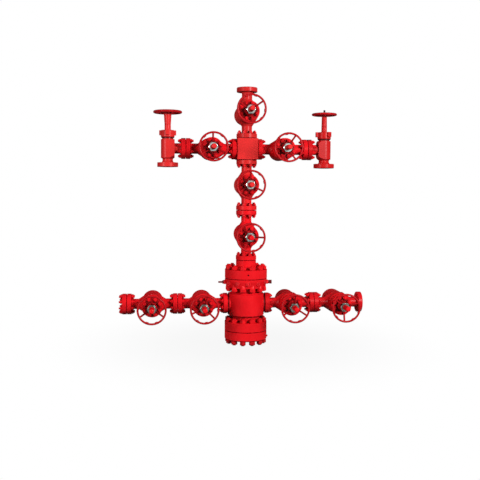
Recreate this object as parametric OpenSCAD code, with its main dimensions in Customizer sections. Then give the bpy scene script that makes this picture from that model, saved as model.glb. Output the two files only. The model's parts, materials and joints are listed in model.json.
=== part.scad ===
// Gas wellhead valve stack: a casing flange, a tubing head with two valves on each side outlet,
// an adapter, two master valves, a studded cross, a swab valve on top, and a wing valve with an
// angle choke on each side. Millimetres, +Z up, wheels towards -Y.
// The origin is the well bore's centre on the lower face of the casing flange.

/* [Small flanges] */
// Outside diameter of the small flanges
flange_d = 232; // [216:1:280]
// Thickness of a small flange with its raised face
flange_t = 51; // [40:1:70]
// Bolt circle of the small flanges
flange_pcd = 184.15; // [176:0.01:210]
// Bolts in a small flange
flange_bolts = 8; // [8]
// Bolt hole diameter in a small flange
flange_hole_d = 26; // [22:1:30]
// Bore of the valves, arms and chokes
run_bore_d = 65.1; // [50:0.1:80]
// Diameter of the necks between a body and its flanges
neck_d = 116; // [100:1:120]

/* [Large flanges] */
// Outside diameter of the large flanges
big_flange_d = 479; // [470:1:520]
// Thickness of a large flange with its raised face
big_flange_t = 103.2; // [90:0.1:120]
// Bolt circle of the large flanges
big_pcd = 403.2; // [396:0.1:420]
// Bolts in a large flange
big_bolts = 12; // [12:4:16]
// Stud diameter of the large flanges
big_stud_d = 38; // [30:1:40]
// Width across the flats of a large nut
big_nut_af = 60.3; // [50:0.1:64]
// Bore of the well
well_bore_d = 179.4; // [150:0.1:230]

/* [Flange faces] */
// Height of the raised face on a flange
raised_h = 2.5; // [1:0.5:5]
// Diameter of a small flange's raised face
small_face_d = 132; // [120:1:140]
// Diameter of a large flange's raised face
big_face_d = 302; // [280:1:330]
// Outside diameter of a small flange's ring groove
small_groove_d = 103; // [96:1:112]
// Width of a small flange's ring groove
small_groove_w = 13.7; // [8:0.1:15]
// Depth of a small flange's ring groove
small_groove_h = 6.8; // [4:0.1:9]
// Outside diameter of a large flange's ring groove
big_groove_d = 242; // [236:1:262]
// Width of a large flange's ring groove
big_groove_w = 23.4; // [14:0.1:26]
// Depth of a large flange's ring groove
big_groove_h = 11.1; // [6:0.1:14]
// Chamfer on the rim of a flange
rim_chamfer = 3; // [1:0.5:6]

/* [Casing flange and tubing head] */
// Chamfer on the lower rim of the casing flange
casing_chamfer = 12; // [4:1:20]
// Height of the side outlets above the head's lower face
outlet_h = 306; // [290:1:360]
// Height of the head's upper face above the side outlets
head_top_h = 288; // [270:1:346]
// Diameter of the head's body drum
drum_d = 413; // [390:1:440]
// Height of the body drum
drum_h = 245; // [236:1:260]
// Centre of the body drum above its outlets
drum_rise = -8; // [-12:1:4]
// Distance of an outlet face from the well axis
outlet_reach = 211; // [209:1:240]
// Diameter of the flat pad round a side outlet
pad_d = 206; // [190:1:232]
// Diameter of the head's waist between drum and flanges
waist_d = 312; // [280:1:326]
// Height of the straight rim of the head's upper flange
lock_rim_h = 28; // [20:1:60]
// Diameter of the upper flange at its lower edge
lock_cone_d = 430; // [420:1:460]
// Depth of the tie-down screws' axes below the head's upper face
tie_drop = 47; // [40:1:56]
// Diameter of a tie-down screw's gland
gland_d = 50; // [40:1:56]
// Diameter of a tie-down screw
tie_screw_d = 20; // [14:1:28]
// Distance of the long left screw's end from the well axis
tie_reach = 315; // [300:1:330]
// Side of the block on the right screw's end
tie_block_w = 39; // [30:1:44]

/* [Adapter and cross] */
// Height of the adapter between its faces
adapter_h = 205; // [190:1:260]
// Diameter of the adapter's neck
adapter_neck_d = 228; // [214:1:231]
// Side of the cross block
cross_w = 240; // [236:1:280]

/* [Gate valves] */
// Length of a gate valve between its end faces
valve_len = 565; // [520:1:640]
// Diameter of a gate valve's body drum
body_d = 244; // [230:1:256]
// Diameter of the body drum at its back end
tail_d = 236; // [210:1:242]
// Depth of the body drum behind the run axis
body_back = 285; // [200:1:320]
// Depth of the body drum in front of the run axis
body_front = 186; // [150:1:200]
// Diameter of the body's cones where they meet the drum
root_d = 226; // [200:1:240]
// Length of the cone between the drum and a neck
cone_len = 85; // [60:1:100]
// Diameter of the bonnet flange
bonnet_d = 230; // [220:1:242]
// Thickness of the bonnet flange
bonnet_t = 50; // [36:1:60]
// Bolt circle of the bonnet
bonnet_pcd = 178; // [164:1:186]
// Diameter of the bearing housing on the bonnet
housing_d = 92; // [84:1:104]
// Diameter of the flange under the bearing housing
bearing_flange_d = 110; // [100:1:124]
// Distance of the housing's end from the run axis
housing_reach = 348; // [330:1:362]

/* [Handwheels] */
// Outside diameter of a gate valve's handwheel
wheel_d = 320; // [290:1:360]
// Thickness of a handwheel's rim
rim_d = 22; // [22:0.5:25]
// Distance of the rim's plane from the run axis
wheel_reach = 460; // [446:1:500]
// Diameter of a handwheel's hub
hub_d = 92; // [80:1:104]
// Thickness of a handwheel's hub
hub_t = 38; // [30:1:44]
// Diameter of a spoke at the hub
spoke_d = 19; // [14:1:24]
// Diameter of a spoke at the rim, less than the rim's thickness
spoke_rim_d = 20.5; // [14:0.5:21]
// Diameter of a finger grip on the rim
grip_d = 26; // [26:1:30]
// Length of a finger grip
grip_len = 30; // [20:1:44]
// Width across the flats of the hub nut
hub_nut_af = 92; // [80:1:100]
// Thickness of the hub nut
hub_nut_t = 27; // [20:1:36]
// Diameter of the drive sleeve
sleeve_d = 50; // [40:1:56]
// Diameter of the stem cap
cap_d = 55; // [46:1:66]
// Distance of the stem cap's end from the run axis
cap_reach = 548; // [510:1:570]

/* [Chokes] */
// Distance from a choke's inlet face to its axis
choke_reach = 200; // [190:1:240]
// Distance from a choke's inlet axis to its outlet face
choke_drop = 208; // [190:1:240]
// Width of a choke's body
choke_w = 151; // [144:1:170]
// Distance of the body's flat inlet side from its axis
choke_flat = 76; // [70:1:90]
// Diameter of the bonnet nut below its lugs
choke_nut_d = 152; // [140:1:160]
// Height of the bonnet nut
choke_nut_h = 84; // [70:1:100]
// Distance of a lug's outer face from a choke's axis
lug_reach = 98; // [86:1:110]
// Width of a lug
lug_w = 50; // [36:1:60]
// Height of a lug
lug_h = 54; // [40:1:64]
// Diameter of the left choke's stem tube at its foot
left_tube_foot_d = 70; // [60:1:84]
// Diameter of the left choke's stem tube at its top
left_tube_top_d = 84; // [60:1:90]
// Diameter of the right choke's stem tube at its foot
right_tube_foot_d = 62; // [50:1:84]
// Diameter of the right choke's stem tube at its top
right_tube_top_d = 57; // [50:1:84]
// Outside diameter of the left choke's handwheel
left_wheel_d = 320; // [280:1:340]
// Outside diameter of the right choke's handwheel
right_wheel_d = 284; // [260:1:340]
// Thickness of the left choke wheel's rim
left_rim_d = 29; // [22:1:32]
// Thickness of the right choke wheel's rim
right_rim_d = 25; // [20:1:28]
// Diameter of a choke wheel's hub
choke_hub_d = 72; // [60:1:80]

/* [Clearances] */
// Radial clearance of a sleeve or stem in its bearing
run_gap = 0.3; // [0.1:0.1:0.5]
// Radial clearance of a hub on its sleeve
fit_gap = 0.1; // [0.05:0.05:0.2]
// Clearance of the moving pieces' faces
face_gap = 5; // [5:1:8]

/* [Hidden] */
$fn = 64;
red = [0.78, 0.07, 0.08];
silver = [0.80, 0.81, 0.80];
black = [0.08, 0.08, 0.09];
stud_end = 10;                               // what a large stud shows past its nut
big_hole_d = big_stud_d + 4;                 // bolt hole in a large flange
head_z = big_flange_t;                       // joint of the casing flange and the tubing head
arm_z = head_z + outlet_h;                   // axis of the lower arms
adapter_z = arm_z + head_top_h;              // joint of the tubing head and the adapter
tree_z = adapter_z + adapter_h;              // joint of the adapter and the lower master valve
corner_gap = 2;                              // between flanges that meet at the cross's corner
cross_face = max(cross_w / 2, flange_d / 2 + corner_gap);  // from the cross's centre to a face
cross_z = tree_z + 2 * valve_len + cross_face;
lower_master_z = tree_z + valve_len / 2;
upper_master_z = tree_z + 3 * valve_len / 2;
swab_z = cross_z + cross_face + valve_len / 2;
wing_x = cross_face + valve_len / 2;
choke_x = cross_face + valve_len + choke_reach;
inner_x = outlet_reach + valve_len / 2;
outer_x = outlet_reach + 3 * valve_len / 2;
end_x = outlet_reach + 2 * valve_len;
run_bore_len = 250;                          // from a valve's end face to its gate
core_half = 65;                              // from a valve's centre to where its cones end
sleeve_seat = 44;                            // depth of the drive sleeve's bearing
grip_angle = 40;                             // between a spoke and the grips beside it
grip_in = 4;                                 // how far a grip lies inside the rim's centre line
hub_back = housing_reach + face_gap;         // back of a wheel's hub, from the run axis
hub_front = hub_back + hub_t;
nut_front = hub_front + hub_nut_t;
bowl_depth = 190;                            // depth of the open bore in the head's lower end
tie_z = adapter_z - tie_drop;                // axes of the tie-down screws
tie_seat = big_flange_d / 2 - 24;            // bottom of a screw's seat, from the well axis
choke_top = 100;                             // top of a choke's body above its inlet axis
choke_low = 108;                             // bottom of a choke's body below its inlet axis
choke_bore_len = 160;                        // from a choke's outlet face to its seat
choke_groove = 16;                           // open groove between body and bonnet nut
choke_tube_top = 378;                        // top of the stem tube above the inlet axis
choke_ring_z = 263;                          // joint in the stem tube above the inlet axis
choke_stem_d = 36;                           // diameter of a choke's stem in its tube
choke_tip_d = 22;                            // diameter of a choke stem's end
choke_seat = 110;                            // depth of the stem's bearing in the tube
choke_hub_z = choke_tube_top + face_gap;     // back of a choke wheel's hub above the inlet axis
choke_hub_t = 34;                            // thickness of a choke wheel's hub

// Each gate valve: centre, run direction, angle of its first spoke seen from the front,
// and which end is open to the outside (1 the upper or right end, -1 the left, 0 neither)
UP = 0;
ACROSS = 90;
SWAB = [[0, 0, swab_z], UP, 34, 1];
UPPER_MASTER = [[0, 0, upper_master_z], UP, 92, 0];
LOWER_MASTER = [[0, 0, lower_master_z], UP, 0, 0];
LEFT_WING = [[-wing_x, 0, cross_z], ACROSS, 93, 0];
RIGHT_WING = [[wing_x, 0, cross_z], ACROSS, 60, 0];
LEFT_OUTER = [[-outer_x, 0, arm_z], ACROSS, 90, -1];
LEFT_INNER = [[-inner_x, 0, arm_z], ACROSS, 78, 0];
RIGHT_INNER = [[inner_x, 0, arm_z], ACROSS, 89, 0];
RIGHT_OUTER = [[outer_x, 0, arm_z], ACROSS, 22, 1];

// Puts its children at a valve with local Z along the run and the stem towards -Y
module along_run(valve) {
  translate(valve[0]) rotate([0, valve[1], 0]) children();
}

// Puts its children at a valve with local Z along the stem, towards the front
module along_stem(valve) {
  translate(valve[0]) rotate([90, 0, 0]) children();
}

// Repeats its children on a circle, the first half a pitch from the axis
module on_circle(pcd, count) {
  for (i = [0 : count - 1]) {
    rotate([0, 0, (i + 0.5) * 360 / count]) translate([pcd / 2, 0, 0]) children();
  }
}

// A flange whose face looks up at z = 0, with a raised face inside its bolts. The chamfer is the
// one on its back edge
module flange(d, t, face_d, chamfer = rim_chamfer) {
  rotate_extrude() polygon([
    [0, 0], [face_d / 2, 0], [face_d / 2 + raised_h / 2, -raised_h],
    [d / 2 - rim_chamfer, -raised_h], [d / 2, -raised_h - rim_chamfer],
    [d / 2, chamfer - t], [d / 2 - chamfer, -t], [0, -t]
  ]);
}

module small_flange() {
  flange(flange_d, flange_t, small_face_d);
}

module big_flange() {
  flange(big_flange_d, big_flange_t, big_face_d);
}

module small_holes() {
  translate([0, 0, -flange_t - 1]) on_circle(flange_pcd, flange_bolts)
    cylinder(h = flange_t + 2, d = flange_hole_d);
}

module big_holes() {
  translate([0, 0, -big_flange_t - 1]) on_circle(big_pcd, big_bolts)
    cylinder(h = big_flange_t + 2, d = big_hole_d);
}

// The gasket grooves in an open face at z = 0
module small_groove() {
  ring_groove(small_groove_d, small_groove_w, small_groove_h);
}

module big_groove() {
  ring_groove(big_groove_d, big_groove_w, big_groove_h);
}

module ring_groove(d, w, depth) {
  translate([0, 0, -depth]) difference() {
    cylinder(h = depth + 1, d = d);
    translate([0, 0, -1]) cylinder(h = depth + 3, d = d - 2 * w);
  }
}

// A hexagon nut with its flats across af, standing on z = 0
module nut(af, h) {
  cylinder(h = h, d = af / cos(30), $fn = 6);
}

// A flanged neck: face up at z = 0, a short hub, then a neck that widens to end_d over the cone's
// length and ends at reach
module flanged_neck(reach, end_d, cone) {
  hub_d = neck_d + 16;
  small_flange();
  rotate_extrude() polygon([
    [0, -flange_t / 2], [hub_d / 2, -flange_t / 2], [hub_d / 2, -flange_t - 4],
    [neck_d / 2, -flange_t - 18], [neck_d / 2, cone - reach],
    [end_d / 2, -reach], [0, -reach]
  ]);
}

module casing_flange() {
  color(red) difference() {
    translate([0, 0, big_flange_t])
      flange(big_flange_d, big_flange_t, big_face_d, casing_chamfer);
    translate([0, 0, big_flange_t]) big_holes();
    translate([0, 0, -1]) cylinder(h = big_flange_t + 2, d = well_bore_d);
    mirror([0, 0, 1]) big_groove();
  }
}

// The studs that join the casing flange and the tubing head, with a nut at each end
module base_studs() {
  nut_h = big_stud_d;
  color(red) on_circle(big_pcd, big_bolts) {
    translate([0, 0, -nut_h - stud_end])
      cylinder(h = 2 * (big_flange_t + nut_h + stud_end), d = big_stud_d);
    translate([0, 0, -nut_h]) nut(big_nut_af, nut_h);
    translate([0, 0, 2 * big_flange_t]) nut(big_nut_af, nut_h);
  }
}

module tubing_head() {
  drum_mid = arm_z + drum_rise;
  drum_low = drum_mid - drum_h / 2;
  drum_top = drum_mid + drum_h / 2;
  shoulder_r = drum_d / 2 - 24;
  shoulder_h = 16;
  color(red) difference() {
    union() {
      // Lower flange, face down
      translate([0, 0, head_z]) mirror([0, 0, 1]) big_flange();
      // Waist, drum and shoulder in one turned shape
      rotate_extrude() polygon([
        [0, head_z + big_flange_t / 2], [waist_d / 2, head_z + big_flange_t / 2],
        [waist_d / 2, drum_low], [drum_d / 2 - 5, drum_low], [drum_d / 2, drum_low + 5],
        [drum_d / 2, drum_top - 5], [drum_d / 2 - 5, drum_top],
        [shoulder_r, drum_top], [shoulder_r - shoulder_h, drum_top + shoulder_h],
        [waist_d / 2, drum_top + shoulder_h],
        [waist_d / 2, adapter_z - big_flange_t / 2], [0, adapter_z - big_flange_t / 2]
      ]);
      // Upper flange with its long cone
      translate([0, 0, adapter_z]) rotate_extrude() polygon([
        [0, 0], [big_face_d / 2, 0], [big_face_d / 2 + raised_h / 2, -raised_h],
        [big_flange_d / 2 - rim_chamfer, -raised_h],
        [big_flange_d / 2, -raised_h - rim_chamfer],
        [big_flange_d / 2, -lock_rim_h], [lock_cone_d / 2, -big_flange_t], [0, -big_flange_t]
      ]);
      // Flat outlet pads
      for (side = [-1, 1]) translate([0, 0, arm_z]) rotate([0, side * 90, 0]) {
        cylinder(h = outlet_reach - raised_h, d = pad_d);
        cylinder(h = outlet_reach, d = small_face_d);
      }
    }
    translate([0, 0, head_z]) mirror([0, 0, 1]) big_holes();
    translate([0, 0, adapter_z]) big_holes();
    translate([0, 0, head_z - 1]) cylinder(h = bowl_depth + 1, d = well_bore_d);
    tie_screw_seats();
  }
}

// Puts its children on a tie-down screw's axis, local Z outwards, turn degrees from the right
module on_tie_axis(turn) {
  rotate([0, 0, turn]) translate([0, 0, tie_z]) rotate([0, 90, 0]) children();
}

module tie_screw_seats() {
  for (turn = [0 : 30 : 330]) on_tie_axis(turn)
    translate([0, 0, tie_seat]) cylinder(h = 60, d = gland_d + 1);
}

// A screw's gland with the screw run in: only a stub shows
module tie_gland(end) {
  face = big_flange_d / 2 + 2;
  rotate_extrude() polygon([
    [0, tie_seat], [gland_d / 2, tie_seat], [gland_d / 2, face - 3], [gland_d / 2 - 3, face],
    [gland_d / 2 - 8, face], [gland_d / 2 - 8, face - 4], [tie_screw_d / 2, face - 4],
    [tie_screw_d / 2, end - 2], [tie_screw_d / 2 - 2, end], [0, end]
  ]);
}

// The left and right screws stand out, the left one bare and the right one with a square block
module tie_down_screws() {
  stub_end = big_flange_d / 2 + 9;
  cone_end = big_flange_d / 2 + 30;
  block_end = tie_reach - 20;
  color(red) {
    for (turn = [30 : 30 : 150], half = [0, 180]) on_tie_axis(turn + half) tie_gland(stub_end);
    for (turn = [0, 180]) on_tie_axis(turn) rotate_extrude() polygon([
      [0, tie_seat], [gland_d / 2, tie_seat], [gland_d / 2, big_flange_d / 2 + 6],
      [gland_d / 2 - 8, cone_end], [0, cone_end]
    ]);
    on_tie_axis(180) translate([0, 0, cone_end - 1])
      cylinder(h = tie_reach - cone_end + 1, d = tie_screw_d);
    on_tie_axis(0) translate([-tie_block_w / 2, -tie_block_w / 2, cone_end - 1])
      cube([tie_block_w, tie_block_w, block_end - cone_end + 1]);
  }
}

module adapter_flange() {
  port_z = 54;
  color(red) difference() {
    union() {
      translate([0, 0, adapter_z]) mirror([0, 0, 1]) big_flange();
      translate([0, 0, adapter_z]) rotate_extrude() polygon([
        [0, 20], [adapter_neck_d / 2 + 12, 20], [adapter_neck_d / 2 + 12, big_flange_t],
        [adapter_neck_d / 2, big_flange_t + 12],
        [adapter_neck_d / 2, adapter_h - raised_h - 2], [adapter_neck_d / 2 - 2, adapter_h - raised_h],
        [small_face_d / 2, adapter_h - raised_h], [small_face_d / 2, adapter_h], [0, adapter_h]
      ]);
    }
    translate([0, 0, adapter_z]) mirror([0, 0, 1]) big_holes();
    // Test port in the rim
    translate([0, 0, adapter_z + port_z]) rotate([90, 0, 0])
      translate([0, 0, big_flange_d / 2 - 22]) cylinder(h = 30, d = 17);
  }
}

// A square block with a raised face and a stud circle on four sides
module cross() {
  color(red) translate([0, 0, cross_z]) {
    intersection() {
      cube([cross_w - 2 * raised_h, cross_w, cross_w - 2 * raised_h], center = true);
      rotate([0, 0, 45]) cube([cross_w * 1.36, cross_w * 1.36, cross_w * 2], center = true);
    }
    for (turn = [0 : 90 : 270]) rotate([0, turn, 0]) cylinder(h = cross_face, d = small_face_d);
  }
}

module gate_body(valve) {
  seat_d = bonnet_pcd - 30;
  tail_chamfer = 20;
  color(red) difference() {
    union() {
      along_run(valve) for (flip = [0, 180]) rotate([flip, 0, 0])
        translate([0, 0, valve_len / 2]) flanged_neck(valve_len / 2 - core_half, root_d, cone_len);
      along_run(valve) cylinder(h = 2 * core_half, d = root_d, center = true);
      along_stem(valve) rotate_extrude() polygon([
        [0, -body_back], [tail_d / 2 - tail_chamfer, -body_back],
        [tail_d / 2, tail_chamfer - body_back], [body_d / 2, 0],
        [body_d / 2, body_front - 52], [body_d / 2 - 8, body_front - 44],
        [body_d / 2 - 8, body_front - 38], [bonnet_d / 2, body_front - 34],
        [bonnet_d / 2, body_front - raised_h - rim_chamfer],
        [bonnet_d / 2 - rim_chamfer, body_front - raised_h], [seat_d / 2, body_front - raised_h],
        [seat_d / 2, body_front], [0, body_front]
      ]);
    }
    along_run(valve) for (flip = [0, 180]) rotate([flip, 0, 0])
      translate([0, 0, valve_len / 2]) small_holes();
    if (valve[3] != 0) along_run(valve) rotate([valve[3] > 0 ? 0 : 180, 0, 0]) {
      translate([0, 0, valve_len / 2 - run_bore_len])
        cylinder(h = run_bore_len + 1, d = run_bore_d);
      translate([0, 0, valve_len / 2]) small_groove();
    }
  }
}

// The bonnet: bolted flange, recessed neck and bearing housing, bored for the drive sleeve
module bonnet(valve) {
  seat_d = bonnet_pcd - 30;
  neck_r = 42;
  bearing_z = housing_reach - 66;
  bearing_t = 20;
  along_stem(valve) difference() {
    rotate_extrude() polygon([
      [0, body_front], [seat_d / 2, body_front], [seat_d / 2, body_front + raised_h],
      [bonnet_d / 2, body_front + raised_h], [bonnet_d / 2, body_front + bonnet_t - rim_chamfer],
      [bonnet_d / 2 - rim_chamfer, body_front + bonnet_t],
      [neck_r + 14, body_front + bonnet_t], [neck_r, body_front + bonnet_t + 14],
      [neck_r, bearing_z - 8], [bearing_flange_d / 2 - 2, bearing_z],
      [bearing_flange_d / 2, bearing_z + 2], [bearing_flange_d / 2, bearing_z + bearing_t - 2],
      [bearing_flange_d / 2 - 2, bearing_z + bearing_t], [housing_d / 2, bearing_z + bearing_t],
      [housing_d / 2, housing_reach - 4], [housing_d / 2 - 4, housing_reach], [0, housing_reach]
    ]);
    translate([0, 0, housing_reach - sleeve_seat])
      cylinder(h = sleeve_seat + 1, d = sleeve_d + 2 * run_gap);
  }
}

module bonnets(valves) {
  color(red) for (valve = valves) bonnet(valve);
}

// A handwheel: round rim, three spokes and a bored hub between z = 0 and hub_h. Its rim's plane
// lies at dish, and the spokes start inside the hub's edge
module handwheel(d, rim, hub_w, hub_h, dish, bore_d) {
  rim_r = (d - rim) / 2;
  root_r = hub_w / 2 - 6;
  rise = dish - hub_h / 2;
  run = rim_r - root_r;
  difference() {
    union() {
      translate([0, 0, dish]) rotate_extrude() translate([rim_r, 0]) circle(d = rim);
      cylinder(h = hub_h, d = hub_w);
      for (turn = [0 : 120 : 240]) rotate([0, 0, turn]) translate([root_r, 0, hub_h / 2])
        rotate([0, 90 - atan2(rise, run), 0])
          cylinder(h = norm([run, rise]), d1 = spoke_d, d2 = spoke_rim_d);
    }
    translate([0, 0, -1]) cylinder(h = hub_h + 2, d = bore_d);
  }
}

// The finger grips, two beside each spoke, and the spot face that the hub nut sits in
module gate_wheel(valve) {
  dish = wheel_reach - hub_back;
  nut_room = hub_nut_af / cos(30) + 3;
  color(red) along_stem(valve) translate([0, 0, hub_back]) rotate([0, 0, valve[2]]) difference() {
    union() {
      handwheel(wheel_d, rim_d, hub_d, hub_t, dish, sleeve_d + 2 * fit_gap);
      for (turn = [0 : 120 : 240], side = [-1, 1]) rotate([0, 0, turn + side * grip_angle])
        translate([(wheel_d - rim_d) / 2 - grip_in, 0, dish]) rotate([90, 0, 0])
          cylinder(h = grip_len, d = grip_d, center = true);
    }
    translate([0, 0, hub_t]) cylinder(h = dish, d = nut_room);
  }
}

// The hub nut, its corners chamfered, in one piece with the drive sleeve that turns in the bonnet
module hub_nut(valve) {
  sleeve_back = housing_reach - sleeve_seat + face_gap;
  corner_r = hub_nut_af / cos(30) / 2;
  color(silver) along_stem(valve) {
    translate([0, 0, hub_front]) intersection() {
      nut(hub_nut_af, hub_nut_t);
      rotate_extrude() polygon([
        [0, 0], [corner_r, 0], [corner_r, hub_nut_t - 5], [corner_r - 9, hub_nut_t], [0, hub_nut_t]
      ]);
    }
    translate([0, 0, sleeve_back]) cylinder(h = hub_front + 1 - sleeve_back, d = sleeve_d);
  }
}

module stem_cap(valve) {
  color(red) along_stem(valve) rotate_extrude() polygon([
    [0, nut_front], [cap_d / 2 + 2, nut_front], [cap_d / 2 + 2, nut_front + 12],
    [cap_d / 2, nut_front + 15], [cap_d / 2, cap_reach - 12],
    [cap_d / 2 - 4, cap_reach - 4], [cap_d / 2 - 12, cap_reach], [0, cap_reach]
  ]);
}

module left_end_flange() {
  color(red) translate([-end_x, 0, arm_z]) rotate([0, 90, 0]) difference() {
    small_flange();
    small_holes();
    translate([0, 0, -flange_t - 1]) cylinder(h = flange_t + 2, d = run_bore_d);
  }
}

// Angle choke body: inlet flange towards the well, outlet flange down. The body is round on its
// outer side and square towards the inlet, with its ends turned to bevels
module choke_body(side) {
  corner_r = norm([choke_flat, choke_w / 2]);
  low_r = 82;
  neck_cone = 14;
  color(red) translate([side * choke_x, 0, cross_z]) difference() {
    union() {
      rotate([0, -side * 90, 0]) translate([0, 0, choke_reach])
        flanged_neck(choke_reach, neck_d, 0);
      translate([0, 0, -choke_drop]) mirror([0, 0, 1])
        flanged_neck(choke_drop - choke_low + 4, neck_d + 2 * neck_cone, neck_cone);
      intersection() {
        union() {
          translate([0, 0, -choke_low]) cylinder(h = choke_low + choke_top, d = choke_w);
          rotate([0, 0, side > 0 ? 180 : 0]) translate([0, -choke_w / 2, -choke_low])
            cube([choke_flat, choke_w, choke_low + choke_top]);
        }
        rotate_extrude() polygon([
          [0, -choke_low], [low_r - 10, -choke_low], [corner_r, corner_r - low_r + 10 - choke_low],
          [corner_r, choke_top - corner_r + low_r], [low_r, choke_top], [0, choke_top]
        ]);
      }
    }
    rotate([0, -side * 90, 0]) translate([0, 0, choke_reach]) small_holes();
    translate([0, 0, -choke_drop]) mirror([0, 0, 1]) {
      small_holes();
      small_groove();
    }
    translate([0, 0, -choke_drop - 1]) cylinder(h = choke_bore_len + 1, d = run_bore_d);
  }
}

// The bonnet: a nut with three hammer lugs over an open groove, and the stem tube in one piece
// with it, bored for the stem. The first lug lies at lug_turn
module choke_bonnet(side, foot_d, top_d, lug_turn) {
  groove_r = choke_nut_d / 2 - 13;
  nut_z = choke_top + choke_groove;
  nut_top = nut_z + choke_nut_h;
  foot_r = foot_d / 2;
  top_r = top_d / 2;
  color(red) translate([side * choke_x, 0, cross_z]) difference() {
    union() {
      rotate_extrude() polygon([
        [0, choke_top], [groove_r, choke_top], [groove_r, nut_z], [choke_nut_d / 2 - 4, nut_z],
        [choke_nut_d / 2, nut_z + 16], [choke_nut_d / 2, nut_top - 5],
        [choke_nut_d / 2 - 5, nut_top], [foot_r + 8, nut_top], [foot_r, nut_top + 6],
        [foot_r, choke_ring_z - 2], [foot_r - 2, choke_ring_z], [foot_r, choke_ring_z + 2],
        [top_r, choke_tube_top - 3], [top_r - 3, choke_tube_top], [0, choke_tube_top]
      ]);
      for (turn = [0 : 120 : 240]) rotate([0, 0, lug_turn + turn])
        translate([0, 0, nut_top - lug_h]) intersection() {
          cylinder(h = lug_h, r = lug_reach);
          translate([foot_r, -lug_w / 2, -1]) cube([lug_reach, lug_w, lug_h + 2]);
        }
    }
    translate([0, 0, choke_tube_top - choke_seat])
      cylinder(h = choke_seat + 1, d = choke_stem_d + 2 * run_gap);
  }
}

// A choke's stem, with a thinner end that stands out of the wheel's hub by tip
module choke_stem(side, tip) {
  stem_z = choke_tube_top - choke_seat + face_gap;
  hub_top = choke_hub_z + choke_hub_t;
  translate([side * choke_x, 0, cross_z]) {
    translate([0, 0, stem_z]) cylinder(h = hub_top - stem_z, d = choke_stem_d);
    translate([0, 0, hub_top - 1]) cylinder(h = tip - 1, d = choke_tip_d);
    translate([0, 0, hub_top + tip - 2]) cylinder(h = 2, d1 = choke_tip_d, d2 = choke_tip_d - 4);
  }
}

module choke_wheel(side, d, rim) {
  color(red) translate([side * choke_x, 0, cross_z + choke_hub_z])
    handwheel(d, rim, choke_hub_d, choke_hub_t, choke_hub_t / 2, choke_stem_d + 2 * run_gap);
}

casing_flange();
base_studs();
tubing_head();
tie_down_screws();
adapter_flange();
cross();
gate_body(SWAB);  // swab_valve
gate_body(UPPER_MASTER);  // upper_master_valve
gate_body(LOWER_MASTER);  // lower_master_valve
gate_body(LEFT_WING);  // left_wing_valve
gate_body(RIGHT_WING);  // right_wing_valve
gate_body(LEFT_OUTER);  // left_outer_valve
gate_body(LEFT_INNER);  // left_inner_valve
gate_body(RIGHT_INNER);  // right_inner_valve
gate_body(RIGHT_OUTER);  // right_outer_valve
bonnets([SWAB, UPPER_MASTER, LOWER_MASTER]);  // run_bonnets
bonnets([LEFT_WING, RIGHT_WING]);  // wing_bonnets
bonnets([LEFT_OUTER, LEFT_INNER]);  // left_arm_bonnets
bonnets([RIGHT_INNER, RIGHT_OUTER]);  // right_arm_bonnets
left_end_flange();
choke_body(-1);  // left_choke_body
choke_bonnet(-1, left_tube_foot_d, left_tube_top_d, 30);  // left_choke_bonnet
color(red) choke_stem(-1, 8);  // left_choke_stem
choke_wheel(-1, left_wheel_d, left_rim_d);  // left_choke_wheel
choke_body(1);  // right_choke_body
choke_bonnet(1, right_tube_foot_d, right_tube_top_d, 60);  // right_choke_bonnet
color(black) choke_stem(1, 33);  // right_choke_stem
choke_wheel(1, right_wheel_d, right_rim_d);  // right_choke_wheel
gate_wheel(SWAB);  // swab_wheel
hub_nut(SWAB);  // swab_hub_nut
stem_cap(SWAB);  // swab_stem_cap
gate_wheel(UPPER_MASTER);  // upper_master_wheel
hub_nut(UPPER_MASTER);  // upper_master_hub_nut
stem_cap(UPPER_MASTER);  // upper_master_stem_cap
gate_wheel(LOWER_MASTER);  // lower_master_wheel
hub_nut(LOWER_MASTER);  // lower_master_hub_nut
stem_cap(LOWER_MASTER);  // lower_master_stem_cap
gate_wheel(LEFT_WING);  // left_wing_wheel
hub_nut(LEFT_WING);  // left_wing_hub_nut
stem_cap(LEFT_WING);  // left_wing_stem_cap
gate_wheel(RIGHT_WING);  // right_wing_wheel
hub_nut(RIGHT_WING);  // right_wing_hub_nut
stem_cap(RIGHT_WING);  // right_wing_stem_cap
gate_wheel(LEFT_OUTER);  // left_outer_wheel
hub_nut(LEFT_OUTER);  // left_outer_hub_nut
stem_cap(LEFT_OUTER);  // left_outer_stem_cap
gate_wheel(LEFT_INNER);  // left_inner_wheel
hub_nut(LEFT_INNER);  // left_inner_hub_nut
stem_cap(LEFT_INNER);  // left_inner_stem_cap
gate_wheel(RIGHT_INNER);  // right_inner_wheel
hub_nut(RIGHT_INNER);  // right_inner_hub_nut
stem_cap(RIGHT_INNER);  // right_inner_stem_cap
gate_wheel(RIGHT_OUTER);  // right_outer_wheel
hub_nut(RIGHT_OUTER);  // right_outer_hub_nut
stem_cap(RIGHT_OUTER);  // right_outer_stem_cap
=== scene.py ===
"""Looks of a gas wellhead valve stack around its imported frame: paint and plating on the frame's
own nodes, and the small fasteners and fittings that the frame leaves out. Metres, +Z up."""

import json
from math import cos, pi, radians
from typing import NamedTuple

import bpy
import numpy as np
from mathutils import Matrix, Vector


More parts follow.
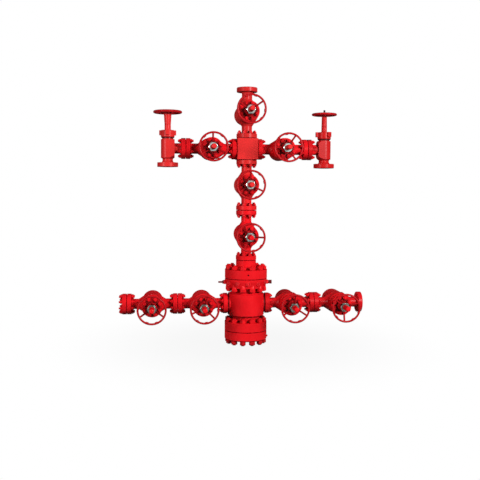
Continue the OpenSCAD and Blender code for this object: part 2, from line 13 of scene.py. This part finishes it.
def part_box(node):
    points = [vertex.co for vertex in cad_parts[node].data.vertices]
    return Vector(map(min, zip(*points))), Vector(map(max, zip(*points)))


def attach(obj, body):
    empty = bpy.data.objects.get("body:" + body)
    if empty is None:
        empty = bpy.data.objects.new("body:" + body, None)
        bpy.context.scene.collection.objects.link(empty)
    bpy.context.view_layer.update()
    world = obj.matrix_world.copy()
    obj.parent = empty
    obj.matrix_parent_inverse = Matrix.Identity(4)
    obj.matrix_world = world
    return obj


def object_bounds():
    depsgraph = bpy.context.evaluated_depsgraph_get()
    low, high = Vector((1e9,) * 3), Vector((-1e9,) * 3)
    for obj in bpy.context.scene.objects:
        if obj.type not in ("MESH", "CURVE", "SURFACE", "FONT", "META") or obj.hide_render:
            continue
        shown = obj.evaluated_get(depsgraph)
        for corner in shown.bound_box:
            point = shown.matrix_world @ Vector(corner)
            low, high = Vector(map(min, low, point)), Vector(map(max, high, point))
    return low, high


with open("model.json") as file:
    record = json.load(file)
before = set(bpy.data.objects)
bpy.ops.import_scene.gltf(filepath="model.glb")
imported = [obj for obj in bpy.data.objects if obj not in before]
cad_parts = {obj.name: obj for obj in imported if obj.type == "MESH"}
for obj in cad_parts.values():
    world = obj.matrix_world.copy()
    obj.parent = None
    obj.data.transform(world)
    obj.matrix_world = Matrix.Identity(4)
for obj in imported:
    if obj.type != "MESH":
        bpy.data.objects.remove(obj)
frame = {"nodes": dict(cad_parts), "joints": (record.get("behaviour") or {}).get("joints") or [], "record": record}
cad_low, cad_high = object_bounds()


class Stud(NamedTuple):
    """A stud and its hexagon nut: the stud's diameter, the nut's width over its flats and its
    height, and how far the stud's end shows past the nut."""

    d: float
    nut_af: float
    nut_h: float
    end: float


def valve_places():
    """Centre of each gate valve, from its wheel's joint."""
    return {joint["name"].removesuffix("_turn"): np.array(joint["pos_m"])
            for joint in frame["joints"]
            if joint["name"].endswith("_turn") and "choke" not in joint["name"]}


# Directions
UP = np.array([0.0, 0.0, 1.0])
RIGHT = np.array([1.0, 0.0, 0.0])
BACK = np.array([0.0, 1.0, 0.0])

# The frame's own places
VALVES = valve_places()
CROSS_LOW, CROSS_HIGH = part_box("cross")
CROSS_CENTRE = (CROSS_LOW + CROSS_HIGH) / 2

# Studs with their nuts, and the lower end of the large ones, which shows less
SMALL_STUD = Stud(d=0.0222, nut_af=0.0365, nut_h=0.022, end=0.014)
BONNET_STUD = Stud(d=0.0254, nut_af=0.0413, nut_h=0.025, end=0.011)
BIG_STUD = Stud(d=0.038, nut_af=0.0603, nut_h=0.038, end=0.014)
BIG_STUD_FOOT = BIG_STUD._replace(end=0.005)

# What the studs go through: flanges, their bolt circles, and the bonnets' faces
FLANGE_T = 0.051
SMALL_PCD = next(mount["dims"]["pcd_mm"] for mount in frame["record"]["mounts"]
                 if mount["name"] == "top_bolts") / 1000
BIG_FLANGE_T = 0.1032
BIG_PCD = 0.4032
BONNET_PCD = 0.178
BONNET_FACE = 0.236

# How deep a small stud and a bonnet's stud are sunk in a block
SUNK = 0.01
BONNET_SUNK = 0.05

# A nut's chamfer as a share of what its corners stand out, its flat top as a share of its
# width, and the chamfer on a stud's end
NUT_CHAMFER = 0.8
NUT_TOP = 0.97
STUD_CHAMFER = 0.002

# Fittings: width over flats, and place from a valve's centre or up from the base
BODY_FITTING_AF = 0.022
BODY_FITTING_UP = 0.045
NIPPLE_AF = 0.012
NIPPLE_PLACE = np.array([0.0, -0.292, 0.055])
PLUG_AF = 0.021
PLUG_UP = 0.027

# Where a bonnet nose's painted shade and grease, the outlets' painted shade and the screws' oil start
# and where they are full, as distances from the run's axis, from the face of a flange and from the well's axis
NOSE_SHADE_AHEAD = (0.27, 0.3)
OUTLET_SHADE_BEHIND = (0.02, 0.014)
SCREW_OIL_REACH = (0.252, 0.262)

# Heights from which painted shade, a seam's dark band and stains thin out and at which they end, the
# first two up from the base and the others to both sides of an axis or a seam
FOOT_SHADE_Z = (-0.04, 0.03)
PLATING_STAIN_Z = (0.3, 2.0)
OUTLET_SHADE_HALF = (0.12, 0.13)
SEAM_DARK_HALF = (0.006, 0.014)

# Details in the materials: pitch of the threads, and radii of softened edges
THREAD_PITCH = 0.003
CAST_EDGE = 0.0022
PLATED_EDGE = 0.0015

# Share of its own shade that the floor shows near the stack, how far from its foot the shade
# thins out and ends, and the strength of the sky
FLOOR_SHADE = 0.08
FLOOR_SHADE_REACH = (0.3, 2.4)
SKY_LIGHT = 0.08


class Wire:
    """A shader socket: Python arithmetic on it adds the Math nodes."""

    def __init__(self, graph, socket):
        self.graph = graph
        self.socket = socket

    def maths(self, operation, *terms):
        return self.graph.wire("Math", 0, {"operation": operation}, dict(enumerate(terms)))

    def __add__(self, other):
        return self.maths("ADD", self, other)

    def __radd__(self, other):
        return self.maths("ADD", other, self)

    def __sub__(self, other):
        return self.maths("SUBTRACT", self, other)

    def __rsub__(self, other):
        return self.maths("SUBTRACT", other, self)

    def __mul__(self, other):
        return self.maths("MULTIPLY", self, other)

    def __rmul__(self, other):
        return self.maths("MULTIPLY", other, self)

    def __neg__(self):
        return 0 - self

    def __abs__(self):
        return self.maths("ABSOLUTE", self)

    def at_least(self, other):
        """The greater of this and another."""
        return self.maths("MAXIMUM", self, other)

    def sine(self):
        return self.maths("SINE", self)

    def between(self, low, high):
        """0 below low, 1 above high, and a smooth step from one to the other."""
        return self.graph.wire("MapRange", "Result", {"interpolation_type": "SMOOTHSTEP"},
                               {"Value": self, "From Min": low, "From Max": high})


class Graph:
    """A shader's nodes, all made by one method."""

    def __init__(self, tree):
        self.tree = tree

    def feed(self, socket, value):
        """Links a wire to a socket, or sets the socket's own value."""
        if isinstance(value, Wire):
            self.tree.links.new(value.socket, socket)
        else:
            socket.default_value = value

    def node(self, kind, settings=None, sockets=None):
        """Adds a node, with its settings first, and then its sockets' values or links by their
        names or numbers."""
        node = self.tree.nodes.new("ShaderNode" + kind)
        for key, value in (settings or {}).items():
            setattr(node, key, value)
        for key, value in (sockets or {}).items():
            self.feed(node.inputs[key], value)
        return node

    def wire(self, kind, output, settings=None, sockets=None):
        """Adds a node and gives one of its outputs."""
        return Wire(self, self.node(kind, settings, sockets).outputs[output])

    def background_rays(self):
        """1 for a ray that shows the background: the camera's own, or one off gloss or through
        glass."""
        path = self.node("LightPath")
        seen, mirrored, refracted = (Wire(self, path.outputs["Is " + kind + " Ray"])
                                     for kind in ("Camera", "Glossy", "Transmission"))
        return seen + mirrored + refracted


class Finish(Graph):
    """A Principled material, from the numbers and colours that are the same all over it."""

    def __init__(self, name, **constants):
        self.material = bpy.data.materials.new(name)
        self.material.use_nodes = True
        super().__init__(self.material.node_tree)
        self.shader = self.tree.nodes["Principled BSDF"]
        self.set(**constants)

    def set(self, **values):
        """Feeds the shader's sockets and gives the material."""
        for name, value in values.items():
            self.feed(self.shader.inputs[name.replace("_", " ")], value)
        return self.material

    def place(self):
        return self.wire("TexCoord", "Object")

    def along(self, axis):
        """The place's own X, Y or Z."""
        return self.wire("SeparateXYZ", axis, sockets={"Vector": self.place()})

    def vectors(self, operation, *terms):
        """A number worked out from vectors, such as the distance of two."""
        return self.wire("VectorMath", "Value", {"operation": operation}, dict(enumerate(terms)))

    def reaches(self, centre, low, high):
        """How far the place lies from a centre, as a smooth step between two distances."""
        return self.vectors("DISTANCE", self.place(), centre).between(low, high)

    def faces(self, direction):
        """How much the surface faces a direction: its normal's dot product with it."""
        return self.vectors("DOT_PRODUCT", self.wire("TexCoord", "Normal"), direction)

    def crevice(self, reach):
        """1 deep in a crevice and 0 in the open, from how much within reach shuts a point in."""
        return 1 - self.wire("AmbientOcclusion", "AO", {"samples": 8}, {"Distance": reach})

    def noise(self, scale, detail=4.0, roughness=0.6):
        return self.wire("TexNoise", "Fac", sockets={
            "Vector": self.place(), "Scale": scale, "Detail": detail, "Roughness": roughness})

    def patches(self, scale):
        """Soft-edged patches."""
        return self.noise(scale).between(0.35, 0.7)

    def mix(self, factor, low, high):
        """Mixes two colours by a factor."""
        return self.wire("Mix", 2, {"data_type": "RGBA"}, {0: factor, 6: low, 7: high})

    def rounded(self, radius):
        """The normal with its edges softened by a radius."""
        return self.wire("Bevel", "Normal", {"samples": 4}, {"Radius": radius})

    def thread(self, axis):
        """Height of a rolled thread = a sine of the place along an axis, one wave a pitch."""
        return (self.along(axis) * (2 * pi / THREAD_PITCH)).sine()

    def bump(self, height, distance, strength, normal=None):
        """The normal raised by a height, over the surface's own normal or a softened one."""
        sockets = {"Height": height, "Distance": distance, "Strength": strength}
        if normal is not None:
            sockets["Normal"] = normal
        return self.wire("Bump", "Normal", sockets=sockets)


def linear(red, green, blue):
    """A display colour from 0 to 255 as the linear colour that Blender takes."""
    share = np.array([red, green, blue]) / 255
    value = np.where(share <= 0.04045, share / 12.92, ((share + 0.055) / 1.055) ** 2.4)
    return (*value.tolist(), 1.0)


# Paint colours, two to a coat, the paler reds of a painted sheen, and the dark of painted shade and grease
FRESH = (linear(234, 25, 33), linear(222, 20, 28))
DULL = (linear(214, 23, 30), linear(203, 18, 25))
# A darker red for the wheels, as painted shade on their thin rims
SHADED_WHEEL_RED = (linear(182, 22, 28), linear(172, 18, 24))
OILED = (linear(118, 14, 18), linear(88, 9, 12))
SHEEN_RED = linear(224, 46, 45)
DULL_SHEEN_RED = linear(205, 41, 40)
CHOKE_SHEEN_RED = linear(196, 28, 29)
# The dark colour of painted shade, with dirt and grease
SHADE_AND_GREASE = linear(32, 8, 10)

# Colours of bare, plated and blackened steel, and of painted shade and dirt on the plating
WORN_STEEL = linear(120, 92, 90)
PLATE = (linear(186, 190, 186), linear(100, 108, 102))
PLATE_SHADE_AND_DIRT = linear(66, 70, 66)
BLACKENED = (linear(46, 46, 50), linear(26, 26, 28))


def shade_and_dirt(finish, crevice_shade, shade_below, own_darkening):
    """How much painted shade lies on enamel, with some dirt: in crevices, on faces turned down, and of a piece's
    own.
    """
    reach, start, full = crevice_shade
    # Painted shade, with some dirt, where crevices shut a point in
    dirt_and_shade = finish.crevice(reach).between(start, full) * (finish.noise(16.0) * 0.4 + 0.75)
    # Painted shade on faces turned down
    if shade_below:
        dirt_and_shade = dirt_and_shade.at_least(finish.faces((0, 0, -1)).between(0.35, 1.0) * shade_below)
    if own_darkening:
        dirt_and_shade = dirt_and_shade.at_least(own_darkening(finish))
    return dirt_and_shade


def worn_edges(finish, softened):
    """Bare steel on the sharpest edges, in spots: where the true normal leaves the softened one,
    1 - their dot product grows."""
    same = finish.vectors("DOT_PRODUCT", finish.wire("NewGeometry", "Normal"), softened)
    spots = finish.noise(60.0, detail=5.0, roughness=0.7).between(0.75, 0.94)
    return (1 - same).between(0.05, 0.3) * spots


def enamel(name, colours=FRESH, sheen_reach=None, pale=SHEEN_RED, crevice_shade=(0.055, 0.3, 0.85), shade_below=0.65,
           own_darkening=None, thread_axis=None):
    """Gloss enamel on a casting: a slightly uneven coat, softened edges, dark painted shade with some dirt,
    and bare steel rubbed through at the sharpest edges.

    A centre and two distances, where given, set a painted sheen: the paint is pale nowhere short
    of the first, and wholly past the second. A reach and two shares set the painted shade, with
    some dirt, in crevices: how shut in a point is where it starts and where it is full. A share
    sets the painted shade on faces turned down. A function of the finish adds a darkening of the
    piece's own, painted shade on most pieces. A threaded piece names its axis."""
    finish = Finish(name, Coat_Weight=0.022, Coat_Roughness=0.28, Coat_IOR=3.5,
                    Specular_IOR_Level=0.0)
    paint = finish.mix(finish.patches(5.0), *colours)
    if sheen_reach:
        paint = finish.mix(finish.reaches(*sheen_reach), paint, pale)
    dirt_and_shade = shade_and_dirt(finish, crevice_shade, shade_below, own_darkening)
    # Mixes in the dark colour of painted shade, dirt and grease
    paint = finish.mix(dirt_and_shade, paint, SHADE_AND_GREASE)
    softened = finish.rounded(CAST_EDGE)
    worn = worn_edges(finish, softened)
    skin = finish.noise(420.0, detail=2.0, roughness=0.5)
    swells = finish.noise(45.0, detail=2.0, roughness=0.5)
    height = skin * 0.25 + swells
    if thread_axis:
        height = height + finish.thread(thread_axis) * 1.6
    rough = finish.noise(22.0) * 0.14 + 0.3 + dirt_and_shade * 0.2 + worn * 0.2
    return finish.set(Base_Color=finish.mix(worn, paint, WORN_STEEL), Roughness=rough,
                      Metallic=worn * 0.6, Normal=finish.bump(height, 0.0009, 0.22, softened))


def shaded_greasy_nose(finish):
    """Painted shade and old grease on a bonnet's nose, where its stem comes out."""
    ahead = (-finish.along("Y")).between(*NOSE_SHADE_AHEAD)
    return ahead * (finish.noise(13.0, detail=2.0, roughness=0.5) * 1.1 - 0.2)


def shaded_outlet_gaps(finish):
    """Painted shade on the sides of the tubing head's two outlet pads, just behind their flanges."""
    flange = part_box("right_inner_valve")[0].x
    start, full = OUTLET_SHADE_BEHIND
    across = abs(finish.along("X")).between(flange - start, flange - full)
    height = abs(finish.along("Z") - VALVES["right_inner"][2])
    return across * (1 - height.between(*OUTLET_SHADE_HALF)) * 0.8


def shaded_foot(finish):
    """Painted shade on the lowest studs, thickest at the ground."""
    return (1 - finish.along("Z").between(*FOOT_SHADE_Z)) * 0.5


def choke_seam(finish):
    """A dark band at the seam between a choke's body and its bonnet nut."""
    height = abs(finish.along("Z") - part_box("right_choke_body")[1].z)
    return (1 - height.between(*SEAM_DARK_HALF)) * 0.85


def screw_paint(name):
    """The tie-down screws: painted glands, dark oiled ends past a distance from the well's axis,
    and painted shade in their crevices."""
    finish = Finish(name, Specular_IOR_Level=0.2)
    low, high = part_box("tie_down_screws")
    past = finish.reaches((0, 0, (low.z + high.z) / 2), *SCREW_OIL_REACH)
    oiled = finish.mix(finish.patches(30.0), *OILED)
    # Painted shade in crevices
    dirt_and_shade = finish.crevice(0.04).between(0.3, 0.85)
    paint = finish.mix(dirt_and_shade, finish.mix(past, FRESH[0], oiled), SHADE_AND_GREASE)
    skin = finish.noise(420.0, detail=2.0, roughness=0.5)
    return finish.set(Base_Color=paint, Roughness=finish.noise(40.0, detail=3.0) * 0.2 + 0.35,
                      Normal=finish.bump(skin, 0.0006, 0.25, finish.rounded(CAST_EDGE)))


def plated(name):
    """Bright plated steel with fine turning marks, grey stains that lie thicker low down, and painted
    shade with some dirt in its crevices and on faces turned down and to the right."""
    finish = Finish(name, Metallic=1.0)
    low = (1 - finish.along("Z").between(*PLATING_STAIN_Z)) * 0.22
    stain = (finish.noise(55.0, detail=5.0, roughness=0.65) + low).between(0.42, 0.72)
    # Painted shade on faces turned down and to the right, and in crevices with some dirt
    shade_below = finish.faces((0.4, 0, -0.9)).between(0.15, 0.75) * 0.85
    dirt_and_shade = finish.crevice(0.03).between(0.35, 0.9).at_least(shade_below)
    marks = finish.noise(900.0, detail=2.0, roughness=0.5)
    return finish.set(Base_Color=finish.mix(dirt_and_shade, finish.mix(stain, *PLATE), PLATE_SHADE_AND_DIRT),
                      Roughness=stain * 0.14 + 0.16,
                      Normal=finish.bump(marks, 0.0002, 0.3, finish.rounded(PLATED_EDGE)))


def blackened(name):
    """Oil-blackened steel with a rolled thread up it."""
    finish = Finish(name, Metallic=0.85)
    stain = finish.patches(120.0)
    return finish.set(Base_Color=finish.mix(stain, *BLACKENED), Roughness=stain * 0.15 + 0.3,
                      Normal=finish.bump(finish.thread("Z"), 0.0006, 0.6))


# Where a painted sheen turns the paint pale: up the run, and past the necks of the chokes
RUN_SHEEN = ((0, 0, 0), 1.2, 2.0)
CHOKE_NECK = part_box("right_choke_body")[0].x + FLANGE_T
CHOKE_SHEEN = ((0, 0, CROSS_CENTRE.z), CHOKE_NECK, CHOKE_NECK + 0.03)

# The finish of each slot
RED = enamel("red_enamel")
RED_THREAD = {axis: enamel("red_thread_" + axis.lower(), thread_axis=axis) for axis in "XYZ"}
PLATED = plated("plated_steel")
SLOT_FINISH = {
    "red_paint": RED,
    "wheel_paint": enamel("wheel_enamel", SHADED_WHEEL_RED, crevice_shade=(0.09, 0.25, 0.7), shade_below=0),
    "plated_nut": PLATED,
    "black_stem": blackened("blackened_steel"),
}

# Red paint with more painted shade and dirt, darker, or with a painted sheen, and the nodes that have them
RUN_RED = enamel("run_enamel", sheen_reach=RUN_SHEEN)
ARM_RED = enamel("arm_enamel", DULL)
BONNET_RED = enamel("bonnet_enamel", crevice_shade=(0.11, 0.22, 0.65), own_darkening=shaded_greasy_nose)
CHOKE_RED = {
    "left": enamel("left_choke_enamel", sheen_reach=CHOKE_SHEEN, own_darkening=choke_seam),
    "right": enamel("right_choke_enamel", DULL, CHOKE_SHEEN, CHOKE_SHEEN_RED, own_darkening=choke_seam),
}
NODE_FINISH = {
    "tubing_head": enamel("head_enamel", crevice_shade=(0.05, 0.6, 1.0), own_darkening=shaded_outlet_gaps),
    "tie_down_screws": screw_paint("tie_down_screw_paint"),
    "base_studs": enamel("foot_enamel", own_darkening=shaded_foot),
    "swab_valve": enamel("swab_enamel", sheen_reach=RUN_SHEEN, pale=DULL_SHEEN_RED),
    "upper_master_valve": RUN_RED,
    "cross": RUN_RED,
    "right_inner_valve": ARM_RED,
    "right_outer_valve": ARM_RED,
}


def node_finish(name, slot):
    """The finish of a frame node: its own kind of the paint, or else its slot's."""
    if name.endswith("_bonnets"):
        return BONNET_RED
    if name.endswith("_cap"):
        return RUN_RED
    if slot == "red_paint" and "choke" in name:
        return CHOKE_RED[name.split("_")[0]]
    return NODE_FINISH.get(name, SLOT_FINISH[slot])


def finish_nodes():
    """Gives every frame node its finish."""
    slot_of = {part["node"]: part["material_slot"] for part in frame["record"]["subparts"]}
    for name, node in frame["nodes"].items():
        finish = node_finish(name, slot_of[name])
        if not node.material_slots:
            node.data.materials.append(finish)
        for slot in node.material_slots:
            slot.material = finish


def tubes(name, rings, finishes, threaded=()):
    """A mesh from an array (copies, rows, columns, 3): each copy is a tube of quads through its
    rows of points, closed by a flat face at each end. Threaded holds the numbers of the bands
    between rows that take the second finish."""
    copies, rows, columns, _ = rings.shape
    index = np.arange(copies * rows * columns).reshape(copies, rows, columns)
    beside = np.roll(index, -1, axis=2)
    quads = np.stack([index[:, :-1], beside[:, :-1], beside[:, 1:], index[:, 1:]], axis=-1)
    lids = np.concatenate([index[:, 0, ::-1], index[:, -1]])
    second = np.zeros((copies, rows - 1, columns), dtype=np.int32)
    second[:, list(threaded)] = 1
    mesh = bpy.data.meshes.new(name)
    mesh.from_pydata(rings.reshape(-1, 3), [], quads.reshape(-1, 4).tolist() + lids.tolist())
    for finish in finishes:
        mesh.materials.append(finish)
    mesh.polygons.foreach_set("material_index", np.concatenate(
        [second.ravel(), np.zeros(len(lids), dtype=np.int32)]))
    mesh.polygons.foreach_set("use_smooth", np.ones(len(mesh.polygons), dtype=bool))
    mesh.set_sharp_from_angle(angle=radians(30))
    piece = bpy.data.objects.new(name, mesh)
    bpy.context.scene.collection.objects.link(piece)
    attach(piece, "stack")


def facing(direction):
    """The rotation, as rows of a matrix, that turns local Z to a direction."""
    return np.array(Vector(direction).to_track_quat("Z", "X").to_matrix())


def circle_places(centre, direction, pcd, count):
    """Points at equal steps on a circle about a direction, the first at half a step."""
    turn = (np.arange(count) + 0.5) * 2 * pi / count
    local = np.stack([np.cos(turn), np.sin(turn), 0 * turn], axis=1) * pcd / 2
    return np.array(centre) + local @ facing(direction).T


def hex_turned(centres, direction, af, profile):
    """Turned shapes with hexagon parts, from a profile of heights and radii. Radius of a ring =
    the lesser of the profile's own and the hexagon's at that angle, so a ring inside the hexagon
    is round, one past its corners is a full hexagon, and one between has its corners cut."""
    columns = 12
    angle = np.arange(columns) * 2 * pi / columns
    hexagon = af / 2 / np.cos((angle + pi / 6) % (pi / 3) - pi / 6)
    heights, limits = np.array(profile).T
    radius = np.minimum(hexagon[None, :], limits[:, None])
    ring = np.stack([radius * np.cos(angle), radius * np.sin(angle),
                     np.broadcast_to(heights[:, None], radius.shape)], axis=-1)
    return np.asarray(centres)[:, None, None, :] + ring @ facing(direction).T


def nut_profile(foot, stud):
    """Heights and radii of a nut that stands at a height on its stud, up to the stud's end."""
    flat = stud.nut_af / 2
    corner = flat / cos(pi / 6)
    drop = (corner - flat) * NUT_CHAMFER
    top = foot + stud.nut_h
    end = top + stud.end
    radius = stud.d / 2
    return [(foot, flat), (foot + drop, corner), (top - drop, corner), (top, flat * NUT_TOP),
            (top, radius), (end - STUD_CHAMFER, radius), (end, radius - STUD_CHAMFER)]


def upside_down(profile):
    return [(-height, radius) for height, radius in reversed(profile)]


def stud_circle(name, centre, direction, pcd, count, stud, profile, both_ends=True):
    """A circle of like studs with nuts, threaded on the bands past their nuts: the last two of
    the profile, and the first two where both ends stand out."""
    rings = hex_turned(circle_places(centre, direction, pcd, count), direction, stud.nut_af,
                       profile)
    axis = "XYZ"[int(np.argmax(np.abs(direction)))]
    ends = (0, 1, -2, -1) if both_ends else (-2, -1)
    tubes(name, rings, (RED, RED_THREAD[axis]), ends)


def small_joint(name, joint, direction, through=True):
    """Eight studs at a joint of small flanges. Each has a nut on the side that direction points
    to. Its other end has a nut too where it goes through, or else is sunk in a block."""
    radius = SMALL_STUD.d / 2
    front = nut_profile(FLANGE_T, SMALL_STUD)
    rear = [(-SUNK, radius)]
    if through:
        rear = upside_down(front) + [(-FLANGE_T, radius)]
    stud_circle(name, joint, direction, SMALL_PCD, 8, SMALL_STUD,
                rear + [(FLANGE_T, radius)] + front, both_ends=through)


def joints_of_run():
    """The bolted joints of the runs, from the valves' centres and the cross. The two valves of an
    arm meet, so half a valve's length is half the distance of their centres."""
    half = (VALVES["right_outer"][0] - VALVES["right_inner"][0]) / 2
    small_joint("swab_joint_studs", (0, 0, CROSS_HIGH.z), UP, through=False)
    small_joint("cross_low_joint_studs", (0, 0, CROSS_LOW.z), -UP, through=False)
    small_joint("left_wing_joint_studs", (CROSS_LOW.x, 0, CROSS_CENTRE.z), -RIGHT, through=False)
    small_joint("right_wing_joint_studs", (CROSS_HIGH.x, 0, CROSS_CENTRE.z), RIGHT, through=False)
    small_joint("master_joint_studs", (VALVES["lower_master"] + VALVES["upper_master"]) / 2, UP)
    small_joint("adapter_joint_studs", VALVES["lower_master"] - UP * half, UP, through=False)
    for side, way in (("left", -RIGHT), ("right", RIGHT)):
        inner = VALVES[side + "_inner"]
        outer = VALVES[side + "_outer"]
        small_joint(side + "_choke_joint_studs", VALVES[side + "_wing"] + way * half, way)
        small_joint(side + "_outlet_joint_studs", inner - way * half, way, through=False)
        small_joint(side + "_arm_joint_studs", (inner + outer) / 2, way)
    small_joint("left_end_joint_studs", VALVES["left_outer"] - RIGHT * half, -RIGHT)


def bonnet_studs():
    """Eight studs with nuts on the front of each bonnet."""
    radius = BONNET_STUD.d / 2
    profile = [(-BONNET_SUNK, radius), (0, radius)] + nut_profile(0, BONNET_STUD)
    for valve, centre in VALVES.items():
        stud_circle(valve + "_bonnet_studs", centre - BACK * BONNET_FACE, -BACK, BONNET_PCD, 8,
                    BONNET_STUD, profile, both_ends=False)


def head_studs():
    """Twelve large studs through the adapter and the head's top flange, a nut at each end."""
    joint = (0, 0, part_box("adapter_flange")[0].z)
    above = nut_profile(BIG_FLANGE_T, BIG_STUD)
    below = upside_down(nut_profile(BIG_FLANGE_T, BIG_STUD_FOOT))
    stud_circle("adapter_studs", joint, UP, BIG_PCD, 12, BIG_STUD,
                below + [(0, BIG_STUD.d / 2)] + above)


def fittings():
    """Fittings and grease nipples on the valves, and a plug in the casing flange's port, from
    profiles of heights and radii."""
    button = [(-0.004, 0.012), (0.006, 0.012), (0.008, 0.0105), (0.008, 0.006), (0.013, 0.006),
              (0.014, 0.0078), (0.018, 0.0078), (0.0205, 0.005)]
    nipple = [(-0.004, 0.007), (0.005, 0.007), (0.0065, 0.006), (0.0065, 0.0035), (0.011, 0.003),
              (0.012, 0.0038), (0.0155, 0.0038), (0.017, 0.0022)]
    plug = [(-0.006, 0.017), (0.004, 0.017), (0.0055, 0.0155), (0.0055, 0.011), (0.012, 0.011),
            (0.0135, 0.0095)]
    for valve, centre in VALVES.items():
        behind = (centre[0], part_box(valve + "_valve")[1].y, centre[2] + BODY_FITTING_UP)
        tubes(valve + "_body_fitting", hex_turned([behind], BACK, BODY_FITTING_AF, button),
              (PLATED,))
        tubes(valve + "_grease_nipple",
              hex_turned([centre + NIPPLE_PLACE], UP, NIPPLE_AF, nipple), (RED,))
    port = (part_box("casing_flange")[1].x, 0, PLUG_UP)
    tubes("casing_port_plug", hex_turned([port], RIGHT, PLUG_AF, plug), (RED,))


def pale_floor():
    """The floor's finish: near the stack a little of its own shade, and farther out plain white,
    wherever the background shows."""
    finish = Finish("pale_floor", Base_Color=linear(50, 50, 50), Roughness=0.8,
                    Specular_IOR_Level=0.2)
    far = finish.reaches((0, 0, 0), *FLOOR_SHADE_REACH)
    whiteness = finish.background_rays() * (far * FLOOR_SHADE + (1 - FLOOR_SHADE))
    shaded = Wire(finish, finish.shader.outputs[0])
    white = finish.wire("Emission", 0, sockets={"Color": (1, 1, 1, 1), "Strength": 1.0})
    shown = finish.wire("MixShader", 0, sockets={0: whiteness, 1: shaded, 2: white})
    finish.feed(finish.tree.nodes["Material Output"].inputs["Surface"], shown)
    return finish.material


def studio():
    """A pale floor that curves up into a backdrop: height = 0 as far as the bend, then a
    quarter circle, then a straight wall."""
    front, bend, radius, top, side = -16.0, 5.0, 4.0, 9.0, 22.0
    turn = np.linspace(0, pi / 2, 24)
    depth = np.concatenate([[front, bend], bend + radius * np.sin(turn[1:]), [bend + radius]])
    height = np.concatenate([[0.0, 0.0], radius * (1 - np.cos(turn[1:])), [top]]) + cad_low[2]
    points = np.stack([np.broadcast_to((-side, side), (len(depth), 2)),
                       np.repeat(depth[:, None], 2, 1),
                       np.repeat(height[:, None], 2, 1)], axis=-1).reshape(-1, 3)
    row = np.arange(len(depth) - 1) * 2
    faces = np.stack([row, row + 1, row + 3, row + 2], axis=1)
    mesh = bpy.data.meshes.new("studio_floor")
    mesh.from_pydata(points, [], faces.tolist())
    mesh.polygons.foreach_set("use_smooth", np.ones(len(faces), dtype=bool))
    mesh.materials.append(pale_floor())
    floor = bpy.data.objects.new("studio_floor", mesh)
    bpy.context.scene.collection.objects.link(floor)


def lamp(name, place, aim, size, power, mirrored=True):
    """A soft rectangular lamp that points from its place to an aim. One that isn't mirrored
    lights the surfaces, but shows in none of them."""
    light = bpy.data.lights.new(name, "AREA")
    light.shape = "RECTANGLE"
    light.size, light.size_y = size
    light.energy = power
    holder = bpy.data.objects.new(name, light)
    holder.location = place
    holder.visible_camera = False
    holder.visible_glossy = mirrored
    holder.rotation_euler = (Vector(aim) - Vector(place)).to_track_quat("-Z", "Y").to_euler()
    bpy.context.scene.collection.objects.link(holder)


def lights():
    """Three lamps, and a dim sky that is white where the background shows."""
    lamp("key", (4.0, -6.6, 3.5), (0, 0, 1.0), (2.2, 2.0), 640)
    lamp("fill", (-6.0, -5.0, 2.4), (0, 0, 1.1), (1.8, 1.8), 245)
    lamp("rear", (-2.0, 7.6, 1.5), (0, 0, 1.3), (3.5, 2.2), 330, mirrored=False)
    world = bpy.data.worlds.new("studio_world")
    world.use_nodes = True
    graph = Graph(world.node_tree)
    sky = graph.tree.nodes["Background"]
    graph.feed(sky.inputs["Color"], (1, 1, 1, 1))
    graph.feed(sky.inputs["Strength"], graph.background_rays() * (1 - SKY_LIGHT) + SKY_LIGHT)
    bpy.context.scene.world = world


def camera():
    """The viewpoint found from the photograph: eye height, a little left of the stack."""
    place = Vector((-0.9216, -8.0607, 1.684))
    yaw, pitch, roll = -0.1053, -0.0685, 0.0059
    focal_px, frame_px, sensor = 715.8, 480, 36.0
    lens = bpy.data.cameras.new("camera")
    lens.sensor_width = sensor
    lens.lens = sensor * focal_px / frame_px
    holder = bpy.data.objects.new("camera", lens)
    turn = (Matrix.Rotation(yaw, 4, "Z") @ Matrix.Rotation(pi / 2 + pitch, 4, "X")
            @ Matrix.Rotation(roll, 4, "Z"))
    holder.matrix_world = Matrix.Translation(place) @ turn
    bpy.context.scene.collection.objects.link(holder)
    bpy.context.scene.camera = holder


camera()
finish_nodes()
joints_of_run()
bonnet_studs()
head_studs()
fittings()
studio()
lights()
bpy.context.scene.view_settings.view_transform = "Standard"
